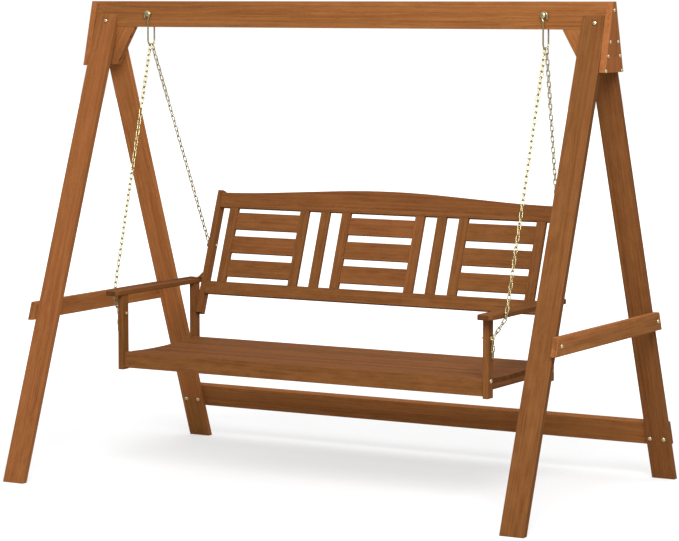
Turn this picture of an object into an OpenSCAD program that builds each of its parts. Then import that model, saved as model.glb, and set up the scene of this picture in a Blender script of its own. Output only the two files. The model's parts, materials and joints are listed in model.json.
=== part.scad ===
// Three-seat porch swing on its own timber stand.
// Units are millimetres, +Z is up and the swing faces -Y.
// Origin: on the floor, midway between the end frames and midway front to back.

/* [Stand] */
// Half of the stand's length, to the outer faces of the legs
half_span = 1072; // [1062:1:1200]
// Thickness of the leg, gusset and stretcher boards
board_t = 24; // [22:1:25]
// Width of the leg boards along the stand
leg_w = 91; // [80:1:110]
// Half of the footprint's depth at the floor
foot_y = 648; // [630:1:660]
// Height of the top beam's upper face
beam_top = 1772; // [1768:1:1780]
// Height of the beam's section
beam_h = 98; // [92:1:100]
// Thickness of the beam
beam_t = 26; // [24:1:28]

/* [Hanging] */
// Distance of each hanger from the middle
hang_x = 832.5; // [831:0.5:834]
// Diameter of the hanger rod
rod_d = 6; // [5.6:0.1:6.2]
// Diameter of the chain wire
wire_d = 3.8; // [3.4:0.1:3.8]

/* [Bench] */
// Half of the seat's length, to the inner faces of the posts
seat_x = 752; // [751.5:0.5:752.5]
// Height of the lowest part of the seat's upper face
seat_top = 461; // [459:1:463]
// Thickness of the seat slats
slat_t = 18; // [14:1:18]
// Width of the seat slats
slat_w = 69; // [60:1:71]
// Height of the arms' upper face
arm_top = 700; // [698:1:702]
// Lean of the backrest from upright, in degrees
back_lean = 20; // [19.8:0.1:20.2]
// Extra rise of the top rail at its middle
crest = 30; // [10:1:40]

/* [Hidden] */
$fn = 48;
lean_k = 0.3682;
lean = atan(lean_k);
leg_y = board_t / cos(lean);
beam_y = beam_t / 2;
beam_z = beam_top - beam_h;
out_x = half_span + board_t;
bolt_z = 1723.5;
rod_r = rod_d / 2;
rod_y = 21.6;
hang_z = 1625.6;
hook_r = 11.2;
hook_x = 3.4;
jog_r = 24;
wire_r = wire_d / 2;
bend_r = 5.5;
link_h = 7.3;
link_end = link_h + bend_r;
link_gap = 0.35;
post_t = 22;
post_out = seat_x + post_t;
arm_t = 20;
eye_r = 6.35;
eye_w = 2;
eye_p = [post_out + 8.5, -303, 612];
turn_p = [820, -279, 680];
pin_n = 21;
pin_s = 278;
back_y = 172.9;
back_z = 566.2;
pin_p = [seat_x + 6, back_y + pin_n * cos(back_lean) + pin_s * sin(back_lean),
         back_z - pin_n * sin(back_lean) + pin_s * cos(back_lean)];
front_n = 46;
lower_n = 4;
rear_n = 40;
tail_n = 3;
front_p = on_rod(turn_p);
rear_p = on_rod(pin_p);
first_0 = link_end - rod_r - wire_r - link_gap;
front_pitch = (norm(turn_p - front_p) - first_0) / (front_n - 0.5);
eye_top = eye_p + eye_r * [turn_p[0] - eye_p[0], 0, turn_p[2] - eye_p[2]]
  / norm([turn_p[0] - eye_p[0], turn_p[2] - eye_p[2]]);
lower_0 = front_pitch / 2 - 0.2;
lower_1 = norm(eye_top - turn_p) + eye_w + wire_r + link_gap - link_end;
lower_pitch = (lower_1 - lower_0) / (lower_n - 1);
rear_1 = norm(pin_p - rear_p) - link_end + 3 + wire_r + link_gap;
rear_pitch = (rear_1 - first_0) / (rear_n - 1);
slat_n = 6;
slat_y0 = -267.3;
slat_pitch = 73.5;
plug_h = 4;
rest_xs = [11 - seat_x, -682, 0, 682, seat_x - 11];
apron_y = -314;
apron_t = 24;
rear_rail_y = 184;
rear_rail_t = 18;
spread = 344.1;
outer_m = 664;
inner_m = 159.4;
lone_m = 251.6;
mull_w = 38;
mull_s = [129.8, 427.8];
slat_h = 68.2;
row_s = [152.4, 247.3, 341.8];

oak = [0.72, 0.42, 0.20];
pale = [0.78, 0.50, 0.27];
brass = [0.80, 0.72, 0.45];

function sag(y) = seat_top - slat_t + 0.000175 * (y + 105) * (y + 105);
function slat_a(i) = slat_y0 + slat_pitch * i;
function rise(x) = 487.9 + crest * (1 + cos(180 * x / (seat_x - 22))) / 2;
// Where a chain that ends at p crosses the bend of the hanger rod
function on_rod(p) = [hang_x, 0, hang_z]
  + rod_y * [0, p[1], p[2] - hang_z] / norm([p[1], p[2] - hang_z]);

// ---- shared fasteners, each pointing along +Z from its seat at z = 0 ----

// Domed head with a plain shank
module dome_bolt(len, r, head_r, head_h) {
  cylinder(h = len, r = r);
  rotate_extrude() polygon(concat([[0, 0]],
    [for (a = [0:15:90]) [head_r * cos(a), -head_h * sin(a)]]));
}

// Six-sided nut with its hole, standing on z = 0
module hex_nut(r, size, h) {
  difference() {
    cylinder(h = h, r = size, $fn = 6);
    translate([0, 0, -1]) cylinder(h = h + 2, r = r + 0.1);
  }
}

module ring(r_out, r_in, h) {
  difference() {
    cylinder(h = h, r = r_out);
    translate([0, 0, -1]) cylinder(h = h + 2, r = r_in);
  }
}

module both_sides() {
  children();
  mirror([1, 0, 0]) children();
}

// Points local +Z along world -X, +X, +Y or outward from the rear legs
module inward(p) { translate(p) rotate([0, -90, 0]) children(); }
module outward(p) { translate(p) rotate([0, 90, 0]) children(); }
module rearward(p) { translate(p) rotate([-90, 0, 0]) children(); }

module at_gusset_screws() {
  inward([out_x, 0, 1742]) children();
  for (s = [-1, 1]) {
    inward([out_x, s * 33, 1633]) children();
    inward([out_x, s * 49, 1584]) children();
    inward([out_x, s * 67, 1533]) children();
  }
}

module at_leg_bolts() {
  for (s = [-1, 1]) rearward([s * 1029, -19.4, 1697]) children();
}

module at_side_bolts() {
  for (s = [-1, 1]) inward([half_span + 22, s * 406, 616]) children();
}

// Local frame on the rear leg's inner face
module at_stretcher_bolts() {
  for (s = [-1, 1]) for (x = [996, 1051])
    translate([s * x, foot_y - lean_k * 164, 164]) rotate([lean - 90, 0, 0])
      translate([0, 0, -board_t]) children();
}

module at_hanger_bolts() {
  for (s = [-1, 1]) rearward([s * hang_x, -26, bolt_z]) children();
}

// ---- stand ----

module leg_blank() {
  z_in = (foot_y - leg_y - beam_y) / lean_k;
  z_out = (foot_y - beam_y) / lean_k;
  translate([half_span - leg_w, 0, 0]) rotate([90, 0, 90])
    linear_extrude(height = leg_w)
      polygon([[-foot_y, 0], [leg_y - foot_y, 0], [-beam_y, z_in], [-beam_y, z_out]]);
}

module leg_drillings() {
  at_leg_bolts() translate([0, 0, -40]) cylinder(h = 120, r = 4.15);
  at_leg_bolts() translate([0, 0, -20]) cylinder(h = 20, r = 10);
  both_sides() at_side_bolts() cylinder(h = 70.5, r = 4.15);
  both_sides() at_gusset_screws() cylinder(h = 55.5, r = 2.6);
}

module front_leg() {
  color(oak) difference() {
    leg_blank();
    leg_drillings();
  }
}

module rear_leg() {
  color(oak) difference() {
    mirror([0, 1, 0]) leg_blank();
    mirror([0, 1, 0]) leg_drillings();
    at_stretcher_bolts() translate([0, 0, -1]) cylinder(h = 30, r = 4.15);
  }
}

module right_front_leg() { front_leg(); }
module left_front_leg() { mirror([1, 0, 0]) front_leg(); }
module right_rear_leg() { rear_leg(); }
module left_rear_leg() { mirror([1, 0, 0]) rear_leg(); }

module top_beam() {
  color(oak) difference() {
    translate([-half_span, -beam_y, beam_z]) cube([2 * half_span, beam_t, beam_h]);
    at_leg_bolts() translate([0, 0, -1]) cylinder(h = 50, r = 4.15);
    at_hanger_bolts() translate([0, 0, -1]) cylinder(h = 60, r = 4.15);
    both_sides() at_gusset_screws() cylinder(h = 55.5, r = 2.6);
    both_sides() upper_corner_screw() cylinder(h = 80, r = 2.6);
  }
}

module gusset() {
  color(oak) difference() {
    translate([half_span, 0, 0]) rotate([90, 0, 90]) linear_extrude(height = board_t)
      polygon([[-beam_y, beam_top], [-76, 1527], [76, 1527], [beam_y, beam_top]]);
    at_gusset_screws() translate([0, 0, -1]) cylinder(h = 30, r = 2.6);
    lower_corner_screw() cylinder(h = 80.5, r = 2.6);
  }
}

module right_gusset() { gusset(); }
module left_gusset() { mirror([1, 0, 0]) gusset(); }

module lower_corner_screw() { outward([1010, 0, 1549]) children(); }
module upper_corner_screw() { translate([928, 0, 1650]) children(); }

module corner_brace() {
  color(pale) difference() {
    translate([0, beam_y, 0]) rotate([90, 0, 0]) linear_extrude(height = beam_t)
      polygon([[902, beam_z], [half_span, beam_z], [half_span, 1530], [984, 1530]]);
    lower_corner_screw() {
      cylinder(h = 90, r = 2.6);
      translate([0, 0, -60]) cylinder(h = 60, r = 6.5);
    }
    upper_corner_screw() {
      cylinder(h = 40, r = 2.6);
      translate([0, 0, -60]) cylinder(h = 60, r = 6.5);
    }
  }
}

module right_corner_brace() { corner_brace(); }
module left_corner_brace() { mirror([1, 0, 0]) corner_brace(); }

module side_brace() {
  color(oak) difference() {
    translate([half_span, 0, 0]) rotate([90, 0, 90]) linear_extrude(height = 22)
      polygon([[-453, 582], [442, 582], [418, 648], [-429, 648]]);
    at_side_bolts() translate([0, 0, -1]) cylinder(h = 30, r = 4.15);
  }
}

module right_side_brace() { side_brace(); }
module left_side_brace() { mirror([1, 0, 0]) side_brace(); }

// Plank lying on the rear faces of the rear legs
module rear_stretcher() {
  color(oak) difference() {
    translate([0, foot_y - lean_k * 171.6, 171.6]) rotate([lean, 0, 0])
      translate([6 - half_span, 0, -46]) cube([2 * (half_span - 6), board_t, 92]);
    at_stretcher_bolts() cylinder(h = 60, r = 4.15);
  }
}

module gusset_screws() {
  color(brass) both_sides() at_gusset_screws() dome_bolt(55, 2.5, 6.5, 3.2);
}

module leg_bolts() { color(brass) at_leg_bolts() dome_bolt(48, 4, 8, 4.5); }

module side_brace_bolts() {
  color(brass) both_sides() at_side_bolts() dome_bolt(70, 4, 7.5, 4.2);
}

module stretcher_bolts() {
  color(brass) at_stretcher_bolts() difference() {
    dome_bolt(57, 4, 8, 4.5);
    translate([0, 0, -6]) cylinder(h = 4.5, r = 2.6, $fn = 6);
  }
}

module corner_screws() {
  color(brass) both_sides() {
    lower_corner_screw() dome_bolt(80, 2.5, 5.5, 3);
    upper_corner_screw() dome_bolt(70, 2.5, 5.5, 3);
  }
}

module stand_nuts() {
  color(brass) {
    at_leg_bolts() translate([0, 0, 38.8]) hex_nut(4, 7.5, 6.5);
    at_stretcher_bolts() translate([0, 0, 48]) hex_nut(4, 7.5, 6.5);
    at_hanger_bolts() translate([0, 0, 56.2]) hex_nut(4, 7.5, 6.5);
  }
}

// ---- hangers: one bent rod, hooked over a bolt on each face of the beam ----

// Rod bent through a turns about the origin, starting at local +X
module rod_bend(r, a) {
  rotate([90, 0, 0]) rotate_extrude(angle = a) translate([r, 0]) circle(r = rod_r, $fn = 32);
}

module rod(h) { cylinder(h = h, r = rod_r, $fn = 32); }

// Half of the hanger in its own plane: the shank stands at x = 0 and the hook curls over x = hook_x
module hook() {
  side = hook_r - hook_x;
  jog_a = acos(1 - side / (2 * jog_r));
  jog_h = 2 * jog_r * sin(jog_a);
  translate([hook_x, 0, bolt_z]) rod_bend(hook_r, 180);
  translate([hook_x + hook_r, 0, bolt_z - 14]) rod(14);
  translate([jog_r - side, 0, bolt_z]) rotate([0, 180, 0]) rod_bend(jog_r, jog_a);
  translate([-jog_r, 0, bolt_z - jog_h]) rod_bend(jog_r, jog_a);
  translate([0, 0, hang_z]) rod(bolt_z - jog_h - hang_z);
}

module hanger() {
  color(brass) {
    for (s = [-1, 1]) translate([hang_x, s * rod_y, 0]) hook();
    translate([hang_x, 0, hang_z]) rotate([90, 0, 90]) rotate([0, 0, 180])
      rotate_extrude(angle = 180) translate([rod_y, 0]) circle(r = rod_r, $fn = 32);
  }
}

module right_hanger() { hanger(); }
module left_hanger() { mirror([1, 0, 0]) hanger(); }

module hanger_bolts() { color(brass) at_hanger_bolts() dome_bolt(64, 4, 11, 5); }

module hanger_spacers() {
  color(brass) at_hanger_bolts() {
    for (z = [8, 39, 51]) translate([0, 0, z]) ring(12, 4.15, 5);
  }
}

// ---- chains ----

module half_bend() {
  rotate([90, 0, 0]) rotate_extrude(angle = 180) translate([bend_r, 0]) circle(r = wire_r, $fn = 32);
}

// Oval link lying in the local XZ plane
module link() {
  for (s = [-1, 1]) translate([s * bend_r, 0, -link_h]) cylinder(h = 2 * link_h, r = wire_r, $fn = 32);
  translate([0, 0, link_h]) half_bend();
  translate([0, 0, -link_h]) rotate([0, 180, 0]) half_bend();
}

// A straight run of links from p towards q; every other link is turned a quarter
module run(p, q, n, first, pitch, turned) {
  d = (q - p) / norm(q - p);
  translate(p) rotate([atan2(-d[1], d[2]), 0, 0]) rotate([0, asin(d[0]), 0])
    for (i = [0:n - 1]) translate([0, 0, first + pitch * i])
      rotate([0, 0, (i + turned) % 2 == 0 ? 0 : 90]) link();
}

module front_chain() {
  color(brass) {
    run(front_p, turn_p, front_n, first_0, front_pitch, 0);
    run(turn_p, eye_top, lower_n, lower_0, lower_pitch, 0);
  }
}

module rear_chain() { color(brass) run(rear_p, pin_p, rear_n, first_0, rear_pitch, 0); }

module chain_tail() {
  top = eye_p - [0, 0, eye_r - eye_w - wire_r - link_gap];
  color(brass) run(top, top - [0, 0, 100], tail_n, link_end, front_pitch, 1);
}

module right_front_chain() { front_chain(); }
module left_front_chain() { mirror([1, 0, 0]) front_chain(); }
module right_rear_chain() { rear_chain(); }
module left_rear_chain() { mirror([1, 0, 0]) rear_chain(); }
module right_chain_tail() { chain_tail(); }
module left_chain_tail() { mirror([1, 0, 0]) chain_tail(); }

// ---- bench frame ----

module at_eye() { inward([post_out, eye_p[1], eye_p[2]]) children(); }
module at_front_post_bolt() { inward([post_out, -300, 462]) children(); }
module at_rear_post_bolt() { inward([post_out, 193, 440]) children(); }
module at_back_screw() { inward([post_out, 193, 592]) children(); }
module at_pin() { inward([seat_x + 12.5, pin_p[1], pin_p[2]]) children(); }

// Upright dowels that hold the arm on the two posts
module at_arm_dowels() {
  translate([seat_x + 11, -303, arm_top - 46]) children();
  translate([seat_x + 11, 187, arm_top - 46]) children();
}

module at_bracket_screws() {
  translate([seat_x + 13, 205, arm_top + 2]) rotate([180, 0, 0]) children();
  inward([seat_x + 2.5, 233, arm_top + 11]) children();
}

module front_post() {
  color(oak) difference() {
    translate([seat_x, -322, 401]) cube([post_t, 38, arm_top - arm_t - 401]);
    at_eye() translate([0, 0, -1]) cylinder(h = 30, r = 3.1);
    at_front_post_bolt() translate([0, 0, -1]) cylinder(h = 30, r = 3.1);
    at_arm_dowels() translate([0, 0, -0.1]) cylinder(h = 60, r = 4.1);
  }
}

module rear_post() {
  color(oak) difference() {
    translate([seat_x, 168, 401]) cube([post_t, 38, arm_top - arm_t - 401]);
    at_rear_post_bolt() translate([0, 0, -1]) cylinder(h = 30, r = 3.1);
    at_back_screw() translate([0, 0, -1]) cylinder(h = 30, r = 3.1);
    at_arm_dowels() translate([0, 0, -0.1]) cylinder(h = 60, r = 4.1);
  }
}

module right_front_post() { front_post(); }
module left_front_post() { mirror([1, 0, 0]) front_post(); }
module right_rear_post() { rear_post(); }
module left_rear_post() { mirror([1, 0, 0]) rear_post(); }

// Arm with clipped front corners, stepped to pass outside the backrest
module arm() {
  color(pale) difference() {
    translate([0, 0, arm_top - arm_t]) linear_extrude(height = arm_t)
      polygon([[748, -346], [750, -362], [756, -367], [797, -365], [805, -352], [808, -328],
        [811, -300], [811, 229], [seat_x + 0.3, 229], [seat_x + 0.3, 212], [748, 212]]);
    at_arm_dowels() translate([0, 0, -1]) cylinder(h = 41.1, r = 4.1);
    at_bracket_screws() cylinder(h = 14.5, r = 1.9);
  }
}

module right_arm() { arm(); }
module left_arm() { mirror([1, 0, 0]) arm(); }

module apron() {
  color(pale) difference() {
    translate([-seat_x, apron_y, 408]) cube([2 * seat_x, apron_t, 60]);
    both_sides() at_front_post_bolt() cylinder(h = 62, r = 3.1);
  }
}

module rear_rail() {
  color(oak) difference() {
    translate([-seat_x, rear_rail_y, 420]) cube([2 * seat_x, rear_rail_t, 46]);
    both_sides() at_rear_post_bolt() cylinder(h = 62, r = 3.1);
  }
}

// Board on edge under the slats, its top following the seat's dish
module rest(x, t, low) {
  difference() {
    translate([x, 0, 0]) rotate([90, 0, 90]) linear_extrude(height = t)
      polygon(concat([[rear_rail_y, low], [rear_rail_y, sag(rear_rail_y)]],
        [for (i = [slat_n - 1:-1:0]) for (y = [slat_a(i) + slat_w, slat_a(i)]) [y, sag(y)]],
        [[apron_y + apron_t, sag(apron_y + apron_t)], [apron_y + apron_t, low]]));
    at_slat_screws() cylinder(h = 28.5, r = 1.7);
  }
}

module right_side_rail() { color(oak) rest(seat_x - 22, 22, 427); }
module left_side_rail() { mirror([1, 0, 0]) right_side_rail(); }

module seat_bearers() {
  color(oak) {
    rest(672, 20, 404);
    rest(-10, 20, 412);
    rest(-692, 20, 404);
  }
}

// Local +Z points down into the slat, from the middle of its upper face
module at_slat_screws() {
  for (i = [0:slat_n - 1]) {
    ya = slat_a(i);
    yb = ya + slat_w;
    tilt = atan2(sag(yb) - sag(ya), slat_w);
    for (x = rest_xs)
      translate([x, (ya + yb) / 2, (sag(ya) + sag(yb)) / 2]) rotate([tilt, 0, 0])
        translate([0, 0, slat_t]) rotate([180, 0, 0]) children();
  }
}

// The head sits under a wooden plug that is flush with the slat
module slat_screw(g) {
  translate([0, 0, plug_h + 0.2]) {
    cylinder(h = 24, r = 1.6 + g);
    cylinder(h = 2.6, r1 = 3.6 + g, r2 = 1.6 + g);
  }
}

module seat_slats() {
  color(pale) difference() {
    for (i = [0:slat_n - 1]) {
      ya = slat_a(i);
      yb = ya + slat_w;
      tilt = atan2(sag(yb) - sag(ya), slat_w);
      translate([-seat_x, ya, sag(ya)]) rotate([tilt, 0, 0])
        cube([2 * seat_x, slat_w / cos(tilt), slat_t]);
    }
    at_slat_screws() slat_screw(0.1);
    at_slat_screws() translate([0, 0, -1]) cylinder(h = plug_h + 1.2, r = 4.1);
  }
}

module slat_plugs() { color(pale) at_slat_screws() cylinder(h = plug_h, r = 4); }

module slat_screws() { color(brass) at_slat_screws() slat_screw(0); }

// ---- backrest, drawn upright and then leaned ----

module leaned() { translate([0, back_y, back_z]) rotate([-back_lean, 0, 0]) children(); }

module back_stile() {
  color(oak) difference() {
    leaned() translate([seat_x - 22, 0, 0]) rotate([90, 0, 90]) linear_extrude(height = 22)
      polygon(concat([[0, 2], [36.5, 2]],
        [for (a = [0:15:90]) [24.5 + 12 * cos(a), 486 + 12 * sin(a)]],
        [for (a = [90:15:180]) [6 + 6 * cos(a), 492 + 6 * sin(a)]]));
    at_back_screw() cylinder(h = 40.1, r = 3.1);
    at_bracket_screws() cylinder(h = 14.5, r = 1.9);
    at_pin() cylinder(h = 60, r = 3.1);
  }
}

module right_back_stile() { back_stile(); }
module left_back_stile() { mirror([1, 0, 0]) back_stile(); }

module top_rail() {
  w = seat_x - 22;
  color(pale) leaned() translate([0, 21, 0]) rotate([90, 0, 0]) linear_extrude(height = 20)
    polygon(concat([[-w, mull_s[1]], [w, mull_s[1]]],
      [for (i = [0:48]) [w - 2 * w * i / 48, rise(w - 2 * w * i / 48)]]));
}

module bottom_rail() {
  w = seat_x - 22;
  color(pale) leaned() translate([-w, 1, 79.4]) cube([2 * w, 20, mull_s[0] - 79.4]);
}

module upright(x) {
  translate([x - mull_w / 2, 1.5, mull_s[0]]) cube([mull_w, 16, mull_s[1] - mull_s[0]]);
}

module panel_stiles() {
  color(oak) leaned() for (s = [-1, 1]) for (x = [outer_m, spread, inner_m]) upright(s * x);
}

module centre_slats() {
  color(oak) leaned() for (s = [-1, 1]) upright(s * lone_m);
}

module panel_slats() {
  half = inner_m - mull_w / 2;
  side = (outer_m + spread) / 2;
  wide = (outer_m - spread) / 2 - mull_w / 2;
  color(pale) leaned() for (s = row_s) {
    translate([-half, 4, s]) cube([2 * half, 12, slat_h]);
    translate([side - wide, 4, s]) cube([2 * wide, 12, slat_h]);
    translate([-side - wide, 4, s]) cube([2 * wide, 12, slat_h]);
  }
}

// ---- bench hardware ----

module eye_bolts() {
  color(brass) both_sides() {
    translate(eye_p) rotate([90, 0, 0]) rotate_extrude() translate([eye_r, 0]) circle(r = eye_w, $fn = 32);
    translate([seat_x - 12, eye_p[1], eye_p[2]]) rotate([0, 90, 0])
      cylinder(h = eye_p[0] - seat_x + 12 - eye_r, r = 3);
    translate([post_out, eye_p[1], eye_p[2]]) rotate([0, 90, 0]) cylinder(h = 2, r = 8);
  }
}

module chain_bolts() { color(brass) both_sides() at_pin() dome_bolt(43, 3, 8, 4); }

module chain_washers() {
  color(brass) both_sides() at_pin() {
    ring(9, 3.1, 2);
    translate([0, 0, 10.5]) ring(9, 3.1, 2);
  }
}

module post_bolts() {
  color(brass) both_sides() {
    at_front_post_bolt() dome_bolt(60, 3, 8, 4);
    at_rear_post_bolt() dome_bolt(60, 3, 8, 4);
  }
}

module back_screws() { color(brass) both_sides() at_back_screw() dome_bolt(40, 3, 8, 4); }

// Small angle: a flange on the arm and a three-cornered leg on the side of the backrest
module arm_brackets() {
  color(brass) both_sides() difference() {
    translate([seat_x + 0.3, 0, arm_top]) {
      translate([0, 190, 0]) cube([19.7, 36, 2]);
      rotate([90, 0, 90]) linear_extrude(height = 2.2)
        polygon([[190, 0], [229, 0], [243, 8], [243, 18], [228, 18]]);
    }
    at_bracket_screws() translate([0, 0, -1]) cylinder(h = 10, r = 1.9);
  }
}

module bracket_screws() {
  color(brass) both_sides() at_bracket_screws() dome_bolt(14, 1.8, 4, 2);
}

module arm_dowels() { color(pale) both_sides() at_arm_dowels() cylinder(h = 40, r = 4); }

module bench_nuts() {
  color(brass) both_sides() {
    at_eye() translate([0, 0, post_t]) hex_nut(3, 6.2, 5.5);
    at_pin() translate([0, 0, 34.5]) hex_nut(3, 6.2, 5.5);
  }
}

left_front_leg();
right_front_leg();
left_rear_leg();
right_rear_leg();
top_beam();
left_gusset();
right_gusset();
left_corner_brace();
right_corner_brace();
left_side_brace();
right_side_brace();
rear_stretcher();
gusset_screws();
leg_bolts();
side_brace_bolts();
stretcher_bolts();
corner_screws();
stand_nuts();
left_hanger();
right_hanger();
hanger_bolts();
hanger_spacers();
left_front_chain();
right_front_chain();
left_rear_chain();
right_rear_chain();
left_chain_tail();
right_chain_tail();
left_front_post();
right_front_post();
left_rear_post();
right_rear_post();
left_arm();
right_arm();
apron();
rear_rail();
left_side_rail();
right_side_rail();
seat_bearers();
seat_slats();
left_back_stile();
right_back_stile();
top_rail();
bottom_rail();
panel_stiles();
centre_slats();
panel_slats();
eye_bolts();
chain_bolts();
chain_washers();
post_bolts();
back_screws();
arm_brackets();
bracket_screws();
arm_dowels();
slat_screws();
slat_plugs();
bench_nuts();
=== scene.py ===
"""Porch swing: oiled hardwood, yellow-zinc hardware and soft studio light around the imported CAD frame."""

import json
import math

import bpy
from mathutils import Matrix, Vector

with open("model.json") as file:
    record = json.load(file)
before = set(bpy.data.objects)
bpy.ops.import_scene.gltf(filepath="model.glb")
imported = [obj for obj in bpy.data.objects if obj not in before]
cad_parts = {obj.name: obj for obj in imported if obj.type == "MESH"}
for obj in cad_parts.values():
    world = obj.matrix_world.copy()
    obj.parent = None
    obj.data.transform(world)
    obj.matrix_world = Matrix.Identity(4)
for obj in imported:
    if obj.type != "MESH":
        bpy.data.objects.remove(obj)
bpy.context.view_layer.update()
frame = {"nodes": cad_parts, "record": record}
nodes = frame["nodes"]
slot_of = {s["node"]: s["material_slot"] for s in frame["record"]["subparts"]}

LEAN = math.atan(0.3682)  # the legs, from upright
BACK_LEAN = math.radians(20.0)  # the backrest, from upright
QUARTER = math.pi / 2
BRACE_SLOPE = 1.05  # the corner braces, in radians from level


# ---- shader helpers ----------------------------------------------------------------------------


class Shader:
    """A material's node tree with short calls for the nodes used here."""

    def __init__(self, name):
        self.material = bpy.data.materials.new(name)
        self.material.use_nodes = True
        self.tree = self.material.node_tree
        self.surface = self.tree.nodes["Principled BSDF"]

    def node(self, kind, **values):
        made = self.tree.nodes.new(kind)
        for key, value in values.items():
            setattr(made, key, value)
        return made

    def join(self, source, target):
        self.tree.links.new(source, target)

    def feed(self, socket, value):
        """Links an output to the socket, or sets a plain number or colour on it."""
        if isinstance(value, bpy.types.NodeSocket):
            self.join(value, socket)
        else:
            socket.default_value = value

    def scaled(self, vector, scale):
        made = self.node("ShaderNodeVectorMath", operation="MULTIPLY")
        self.join(vector, made.inputs[0])
        made.inputs[1].default_value = scale
        return made.outputs[0]

    def moved(self, vector, offset):
        made = self.node("ShaderNodeVectorMath", operation="ADD")
        self.join(vector, made.inputs[0])
        self.feed(made.inputs[1], offset)
        return made.outputs[0]

    def math(self, operation, a, b=0.0):
        made = self.node("ShaderNodeMath", operation=operation)
        self.feed(made.inputs[0], a)
        self.feed(made.inputs[1], b)
        return made.outputs[0]

    def noise(self, vector, scale=1.0, detail=3.0, rough=0.55, twist=0.0):
        made = self.node("ShaderNodeTexNoise")
        self.join(vector, made.inputs["Vector"])
        made.inputs["Scale"].default_value = scale
        made.inputs["Detail"].default_value = detail
        made.inputs["Roughness"].default_value = rough
        made.inputs["Distortion"].default_value = twist
        return made.outputs["Fac"]

    def ranged(self, value, low, high, to_low=0.0, to_high=1.0):
        made = self.node("ShaderNodeMapRange", clamp=True)
        self.join(value, made.inputs["Value"])
        made.inputs["From Min"].default_value = low
        made.inputs["From Max"].default_value = high
        made.inputs["To Min"].default_value = to_low
        made.inputs["To Max"].default_value = to_high
        return made.outputs["Result"]

    def ramp(self, value, stops):
        made = self.node("ShaderNodeValToRGB")
        self.join(value, made.inputs["Fac"])
        points = made.color_ramp.elements
        while len(points) < len(stops):
            points.new(0.5)
        for point, (place, colour) in zip(points, stops):
            point.position = place
            point.color = (*colour, 1.0)
        return made.outputs["Color"]

    def mix(self, how, factor, a, b):
        made = self.node("ShaderNodeMix", data_type="RGBA", blend_type=how, clamp_factor=True)
        self.feed(made.inputs[0], factor)
        self.feed(made.inputs[6], a if isinstance(a, bpy.types.NodeSocket) else (*a, 1.0))
        self.feed(made.inputs[7], b if isinstance(b, bpy.types.NodeSocket) else (*b, 1.0))
        return made.outputs[2]

    def bump(self, height, strength, distance):
        made = self.node("ShaderNodeBump")
        made.inputs["Strength"].default_value = strength
        made.inputs["Distance"].default_value = distance
        self.join(height, made.inputs["Height"])
        self.join(made.outputs["Normal"], self.surface.inputs["Normal"])


# How far apart in the plank the boards are cut, and how much each layer of grain counts
PLANK_STEPS = (31.0, 7.3, 3.1)
BAND_PART = 0.52
FIBRE_PART = 0.32
FIGURE_PART = 0.16
WOOD_TONES = [
    (0.0, (0.160, 0.051, 0.0145)),
    (0.35, (0.238, 0.085, 0.0245)),
    (0.65, (0.286, 0.106, 0.0315)),
    (1.0, (0.346, 0.134, 0.0410)),
]
END_TONES = [(0.35, (0.070, 0.024, 0.008)), (0.62, (0.190, 0.068, 0.020))]
PORE_TONE = (0.42, 0.34, 0.30)
RUBBED_TONE = (0.40, 0.165, 0.052)
OILED_ROUGHNESS = 0.52
OILED_SPECULAR = 0.035


def shaded(colour, painted_shade):
    return tuple(channel * painted_shade for channel in colour)


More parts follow.
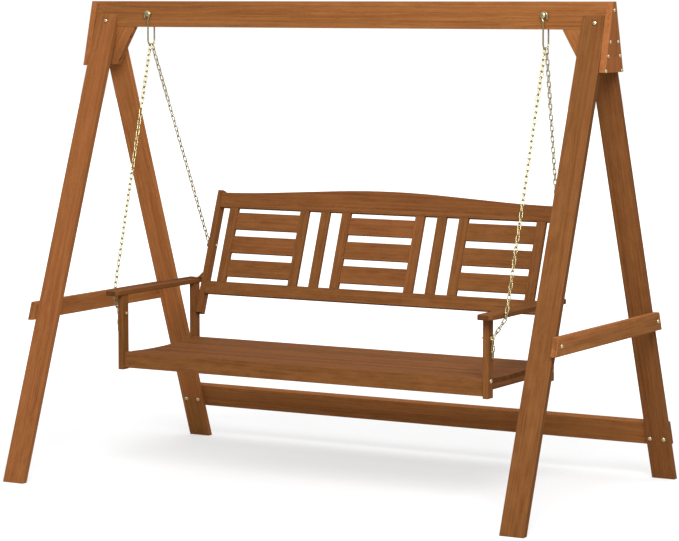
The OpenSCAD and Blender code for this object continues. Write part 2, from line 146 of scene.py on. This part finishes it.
def wood(name, turn, painted_shade):
    """Oiled hardwood whose grain runs along the board. turn is the rotation that lays the board along X."""
    s = Shader(name)
    place = s.node("ShaderNodeTexCoord")
    geometry = s.node("ShaderNodeNewGeometry")
    laid = s.node("ShaderNodeMapping")
    laid.inputs["Rotation"].default_value = turn
    s.join(place.outputs["Object"], laid.inputs["Vector"])

    # Each board is cut from another part of the plank
    luck = geometry.outputs["Random Per Island"]
    lucky = s.node("ShaderNodeCombineXYZ")
    for axis, step in enumerate(PLANK_STEPS):
        s.join(s.math("MULTIPLY", luck, step), lucky.inputs[axis])
    board = s.moved(laid.outputs["Vector"], lucky.outputs[0])

    # Slow wander of the grain, then growth bands, fibres and open pores along it
    wander = s.noise(s.scaled(board, (1.1, 5.0, 5.0)), 1.0, 2.0)
    shift = s.node("ShaderNodeCombineXYZ")
    s.join(s.math("MULTIPLY", wander, 0.05), shift.inputs[1])
    s.join(s.math("MULTIPLY", wander, -0.04), shift.inputs[2])
    flow = s.moved(board, shift.outputs[0])
    bands = s.noise(s.scaled(flow, (0.8, 150.0, 150.0)), 1.0, 3.0, 0.6)
    fibres = s.noise(s.scaled(flow, (9.0, 520.0, 520.0)), 1.0, 3.0, 0.6)
    pores = s.noise(s.scaled(flow, (38.0, 1500.0, 1500.0)), 1.0, 1.0, 0.5)
    figure = s.noise(s.scaled(board, (1.6, 18.0, 18.0)), 1.0, 2.0, 0.5, 0.3)

    tone = s.math("MULTIPLY", bands, BAND_PART)
    tone = s.math("ADD", tone, s.math("MULTIPLY", fibres, FIBRE_PART))
    tone = s.math("ADD", tone, s.math("MULTIPLY", figure, FIGURE_PART))
    # The board's shade factor scales this ramp and the end and rubbed tones below: painted light and shade
    stops = [(place_on_ramp, shaded(tint, painted_shade)) for place_on_ramp, tint in WOOD_TONES]
    colour = s.ramp(s.ranged(tone, 0.34, 0.66), stops)
    dark_pore = s.ranged(pores, 0.60, 0.72)
    colour = s.mix("MULTIPLY", s.math("MULTIPLY", dark_pore, 0.55), colour, PORE_TONE)

    # Boards differ a little in tone and redness
    board_tone = s.ranged(luck, 0.0, 1.0, 0.86, 1.12)
    hue = s.node("ShaderNodeHueSaturation")
    s.join(s.ranged(luck, 0.0, 1.0, 0.505, 0.495), hue.inputs["Hue"])
    s.join(board_tone, hue.inputs["Value"])
    s.join(colour, hue.inputs["Color"])
    colour = hue.outputs["Color"]

    # Sawn ends drink the oil and show short dark pores
    facing = s.node("ShaderNodeMapping", vector_type="NORMAL")
    facing.inputs["Rotation"].default_value = turn
    s.join(place.outputs["Normal"], facing.inputs["Vector"])
    parts = s.node("ShaderNodeSeparateXYZ")
    s.join(facing.outputs["Vector"], parts.inputs[0])
    end = s.ranged(s.math("ABSOLUTE", parts.outputs[0]), 0.80, 0.93)
    speckle = s.noise(s.scaled(board, (700.0, 700.0, 700.0)), 1.0, 2.0)
    end_stops = [(place_on_ramp, shaded(tint, painted_shade)) for place_on_ramp, tint in END_TONES]
    end_colour = s.ramp(speckle, end_stops)
    colour = s.mix("MIX", end, colour, end_colour)

    # Handled edges are rubbed paler
    rubbed = s.ranged(geometry.outputs["Pointiness"], 0.515, 0.58)
    patchy = s.ranged(s.noise(s.scaled(board, (14.0, 40.0, 40.0))), 0.40, 0.70, 0.15, 1.0)
    rub = s.math("MULTIPLY", s.math("MULTIPLY", rubbed, patchy), 0.45)
    colour = s.mix("MIX", rub, colour, shaded(RUBBED_TONE, painted_shade))
    s.join(colour, s.surface.inputs["Base Color"])

    gloss = s.math("ADD", s.math("MULTIPLY", fibres, 0.16), s.math("MULTIPLY", dark_pore, 0.18))
    s.join(s.math("ADD", gloss, OILED_ROUGHNESS), s.surface.inputs["Roughness"])
    s.surface.inputs["Specular IOR Level"].default_value = OILED_SPECULAR
    relief = s.math("SUBTRACT", s.math("MULTIPLY", fibres, 0.7), s.math("MULTIPLY", dark_pore, 0.6))
    s.bump(relief, 0.35, 0.0006)
    return s.material


def yellow_zinc(name, tint, rough):
    """Zinc-plated steel with a yellow passivated film: cloudy in colour and gloss."""
    s = Shader(name)
    place = s.node("ShaderNodeTexCoord")
    cloud = s.noise(s.scaled(place.outputs["Object"], (60.0, 60.0, 60.0)), 1.0, 3.0)
    speck = s.noise(s.scaled(place.outputs["Object"], (900.0, 900.0, 900.0)), 1.0, 2.0)
    warm, cool = tint
    colour = s.ramp(s.ranged(cloud, 0.35, 0.65), [(0.0, cool), (1.0, warm)])
    worn = s.node("ShaderNodeNewGeometry")
    edge = s.ranged(worn.outputs["Pointiness"], 0.52, 0.60)
    colour = s.mix("MIX", s.math("MULTIPLY", edge, 0.35), colour, (0.86, 0.80, 0.66))
    s.join(colour, s.surface.inputs["Base Color"])
    s.surface.inputs["Metallic"].default_value = 1.0
    s.join(s.ranged(speck, 0.3, 0.7, rough, rough + 0.14), s.surface.inputs["Roughness"])
    s.bump(speck, 0.12, 0.0002)
    return s.material


# ---- materials, one per direction of grain -----------------------------------------------------

ALONG_X = (0.0, 0.0, 0.0)
ALONG_Y = (0.0, 0.0, -QUARTER)
ALONG_Z = (0.0, QUARTER, 0.0)
FRONT_LEG = (LEAN, QUARTER, 0.0)
REAR_LEG = (-LEAN, QUARTER, 0.0)
LEANED_BACK = (BACK_LEAN, QUARTER, 0.0)

GRAIN = {
    "top_beam": ALONG_X, "rear_stretcher": ALONG_X, "apron": ALONG_X, "rear_rail": ALONG_X,
    "seat_slats": ALONG_X, "top_rail": ALONG_X, "bottom_rail": ALONG_X, "panel_slats": ALONG_X,
    "left_corner_brace": (0.0, BRACE_SLOPE, 0.0), "right_corner_brace": (0.0, -BRACE_SLOPE, 0.0),
    "seat_bearers": ALONG_Y, "panel_stiles": LEANED_BACK, "centre_slats": LEANED_BACK,
    "arm_dowels": ALONG_Z, "slat_plugs": ALONG_X,
}
PAIRED_GRAIN = {
    "front_leg": FRONT_LEG, "rear_leg": REAR_LEG, "gusset": ALONG_Z, "side_brace": ALONG_Y,
    "front_post": ALONG_Z, "rear_post": ALONG_Z, "arm": ALONG_Y, "side_rail": ALONG_Y,
    "back_stile": LEANED_BACK,
}
for side in ("left", "right"):
    GRAIN.update({f"{side}_{board}": turn for board, turn in PAIRED_GRAIN.items()})

# Painted light and shade: a brightness factor per board, fitted to how lit or shaded each board looks; the
# bench boards all share one darker factor
STAND_PAINTED_SHADE = {
    "top_beam": 0.92, "rear_stretcher": 1.1, "left_front_leg": 0.88, "right_front_leg": 0.60,
    "left_rear_leg": 1.3, "right_rear_leg": 0.72, "left_gusset": 0.96, "right_gusset": 0.96,
    "left_corner_brace": 1.0, "right_corner_brace": 1.0, "left_side_brace": 1.1, "right_side_brace": 1.1,
}
BENCH_PAINTED_SHADE = 0.64
woods = {}


def wood_for(name):
    key = (GRAIN[name], STAND_PAINTED_SHADE.get(name, BENCH_PAINTED_SHADE))
    if key not in woods:
        woods[key] = wood(f"hardwood_{len(woods)}", *key)
    return woods[key]


zinc = yellow_zinc("yellow_zinc", ((0.84, 0.70, 0.42), (0.74, 0.65, 0.42)), 0.26)
# The same yellow zinc, darker, for the chains and hangers: painted shade for their dim reflections
chain_zinc_painted_shade = yellow_zinc("chain_zinc_painted_shade", ((0.56, 0.47, 0.25), (0.44, 0.39, 0.22)), 0.20)


ARM_ARRIS = (0.0042, 3)  # width in metres, and segments
BOARD_ARRIS = (0.0016, 2)
SHARP_PEGS = ("arm_dowels", "slat_plugs")


def soften(obj, width, segments):
    """Rounds the sharp arrises of a CAD node without touching its own vertices."""
    weld = obj.modifiers.new("weld", "WELD")
    weld.merge_threshold = 0.00002
    flat = obj.modifiers.new("flat", "DECIMATE")
    flat.decimate_type = "DISSOLVE"
    flat.angle_limit = math.radians(0.5)
    arris = obj.modifiers.new("arris", "BEVEL")
    arris.width = width
    arris.segments = segments
    arris.limit_method = "ANGLE"
    arris.angle_limit = math.radians(35)
    arris.use_clamp_overlap = False


for name, obj in nodes.items():
    obj.data.materials.clear()
    if slot_of[name] == "zinc_hardware":
        obj.data.materials.append(chain_zinc_painted_shade if "chain" in name or "hanger" in name else zinc)
    else:
        obj.data.materials.append(wood_for(name))
        if name not in SHARP_PEGS:
            soften(obj, *(ARM_ARRIS if "arm" in name else BOARD_ARRIS))

# ---- stage, light and camera -------------------------------------------------------------------

FLOOR_HALF = 30.0
FLOOR_DROP = 0.0005
FLOOR_TONE = 0.50
GLOW_START, GLOW_END = 1.6, 4.5  # metres from the swing over which the floor fades to white
floor_mesh = bpy.data.meshes.new("studio_floor")
corner_signs = [(-1, -1), (1, -1), (1, 1), (-1, 1)]
floor_corners = [(x * FLOOR_HALF, y * FLOOR_HALF, -FLOOR_DROP) for x, y in corner_signs]
floor_mesh.from_pydata(floor_corners, [], [(0, 1, 2, 3)])
floor = bpy.data.objects.new("studio_floor", floor_mesh)
bpy.context.collection.objects.link(floor)
paper = Shader("pale_floor")
paper.surface.inputs["Base Color"].default_value = (FLOOR_TONE, FLOOR_TONE, FLOOR_TONE, 1.0)
paper.surface.inputs["Roughness"].default_value = 0.9
paper.surface.inputs["Specular IOR Level"].default_value = 0.0
paper.surface.inputs["Emission Color"].default_value = (1.0, 1.0, 1.0, 1.0)
seen = paper.node("ShaderNodeLightPath")
spot = paper.node("ShaderNodeTexCoord")
away = paper.node("ShaderNodeVectorMath", operation="LENGTH")
paper.join(spot.outputs["Object"], away.inputs[0])
lift = paper.ranged(away.outputs["Value"], GLOW_START, GLOW_END, FLOOR_TONE, 1.0)
glow = paper.math("MULTIPLY", seen.outputs["Is Camera Ray"], lift)
paper.join(glow, paper.surface.inputs["Emission Strength"])
floor_mesh.materials.append(paper.material)

# A white backdrop to the camera; to the swing, a bright ceiling over dim studio walls
BACKDROP_LIGHT = 1.02
WALL_LIGHT = 0.34
CEILING_LIGHT = 1.0
world = bpy.data.worlds.new("studio")
bpy.context.scene.world = world
world.use_nodes = True
sky = world.node_tree
backdrop = sky.nodes["Background"]
heading = sky.nodes.new("ShaderNodeTexCoord")
parts = sky.nodes.new("ShaderNodeSeparateXYZ")
sky.links.new(heading.outputs["Generated"], parts.inputs[0])
height = sky.nodes.new("ShaderNodeMapRange")
height.clamp = True
height.inputs["From Min"].default_value = 0.0
height.inputs["From Max"].default_value = 0.9
height.inputs["To Min"].default_value = WALL_LIGHT
height.inputs["To Max"].default_value = CEILING_LIGHT
sky.links.new(parts.outputs[2], height.inputs["Value"])
to_camera = sky.nodes.new("ShaderNodeLightPath")
pick = sky.nodes.new("ShaderNodeMix")
sky.links.new(to_camera.outputs["Is Camera Ray"], pick.inputs[0])
sky.links.new(height.outputs["Result"], pick.inputs[2])
pick.inputs[3].default_value = BACKDROP_LIGHT
sky.links.new(pick.outputs[0], backdrop.inputs["Strength"])
backdrop.inputs["Color"].default_value = (1.0, 1.0, 1.0, 1.0)


def soft_box(name, place, aim, size, power):
    lamp = bpy.data.lights.new(name, "AREA")
    lamp.shape = "RECTANGLE"
    lamp.size, lamp.size_y = size
    lamp.energy = power
    lit = bpy.data.objects.new(name, lamp)
    bpy.context.collection.objects.link(lit)
    lit.location = place
    lit.rotation_euler = (Vector(aim) - Vector(place)).to_track_quat("-Z", "Y").to_euler()


KEY_PLACE = (2.9, -4.3, 4.5)
KEY_AIM = (0.0, 0.0, 1.1)
KEY_SIZE = (3.2, 3.2)
KEY_WATTS = 420.0
soft_box("key", KEY_PLACE, KEY_AIM, KEY_SIZE, KEY_WATTS)

CAMERA_PLACE = (5.03166, -8.72936, 1.80479)
CAMERA_TURN = (math.radians(90.0 - 4.9597), math.radians(0.0594), math.radians(29.9762))
LENS_MM = 145.54
SENSOR_MM = 36.0
CAMERA_SHIFT_Y = -0.0589
camera = bpy.data.cameras.new("photo_camera")
camera.sensor_fit = "HORIZONTAL"
camera.sensor_width = SENSOR_MM
camera.lens = LENS_MM
camera.shift_y = CAMERA_SHIFT_Y
camera_obj = bpy.data.objects.new("photo_camera", camera)
bpy.context.collection.objects.link(camera_obj)
camera_obj.location = CAMERA_PLACE
camera_obj.rotation_euler = CAMERA_TURN
bpy.context.scene.camera = camera_obj
bpy.context.scene.view_settings.view_transform = "Standard"
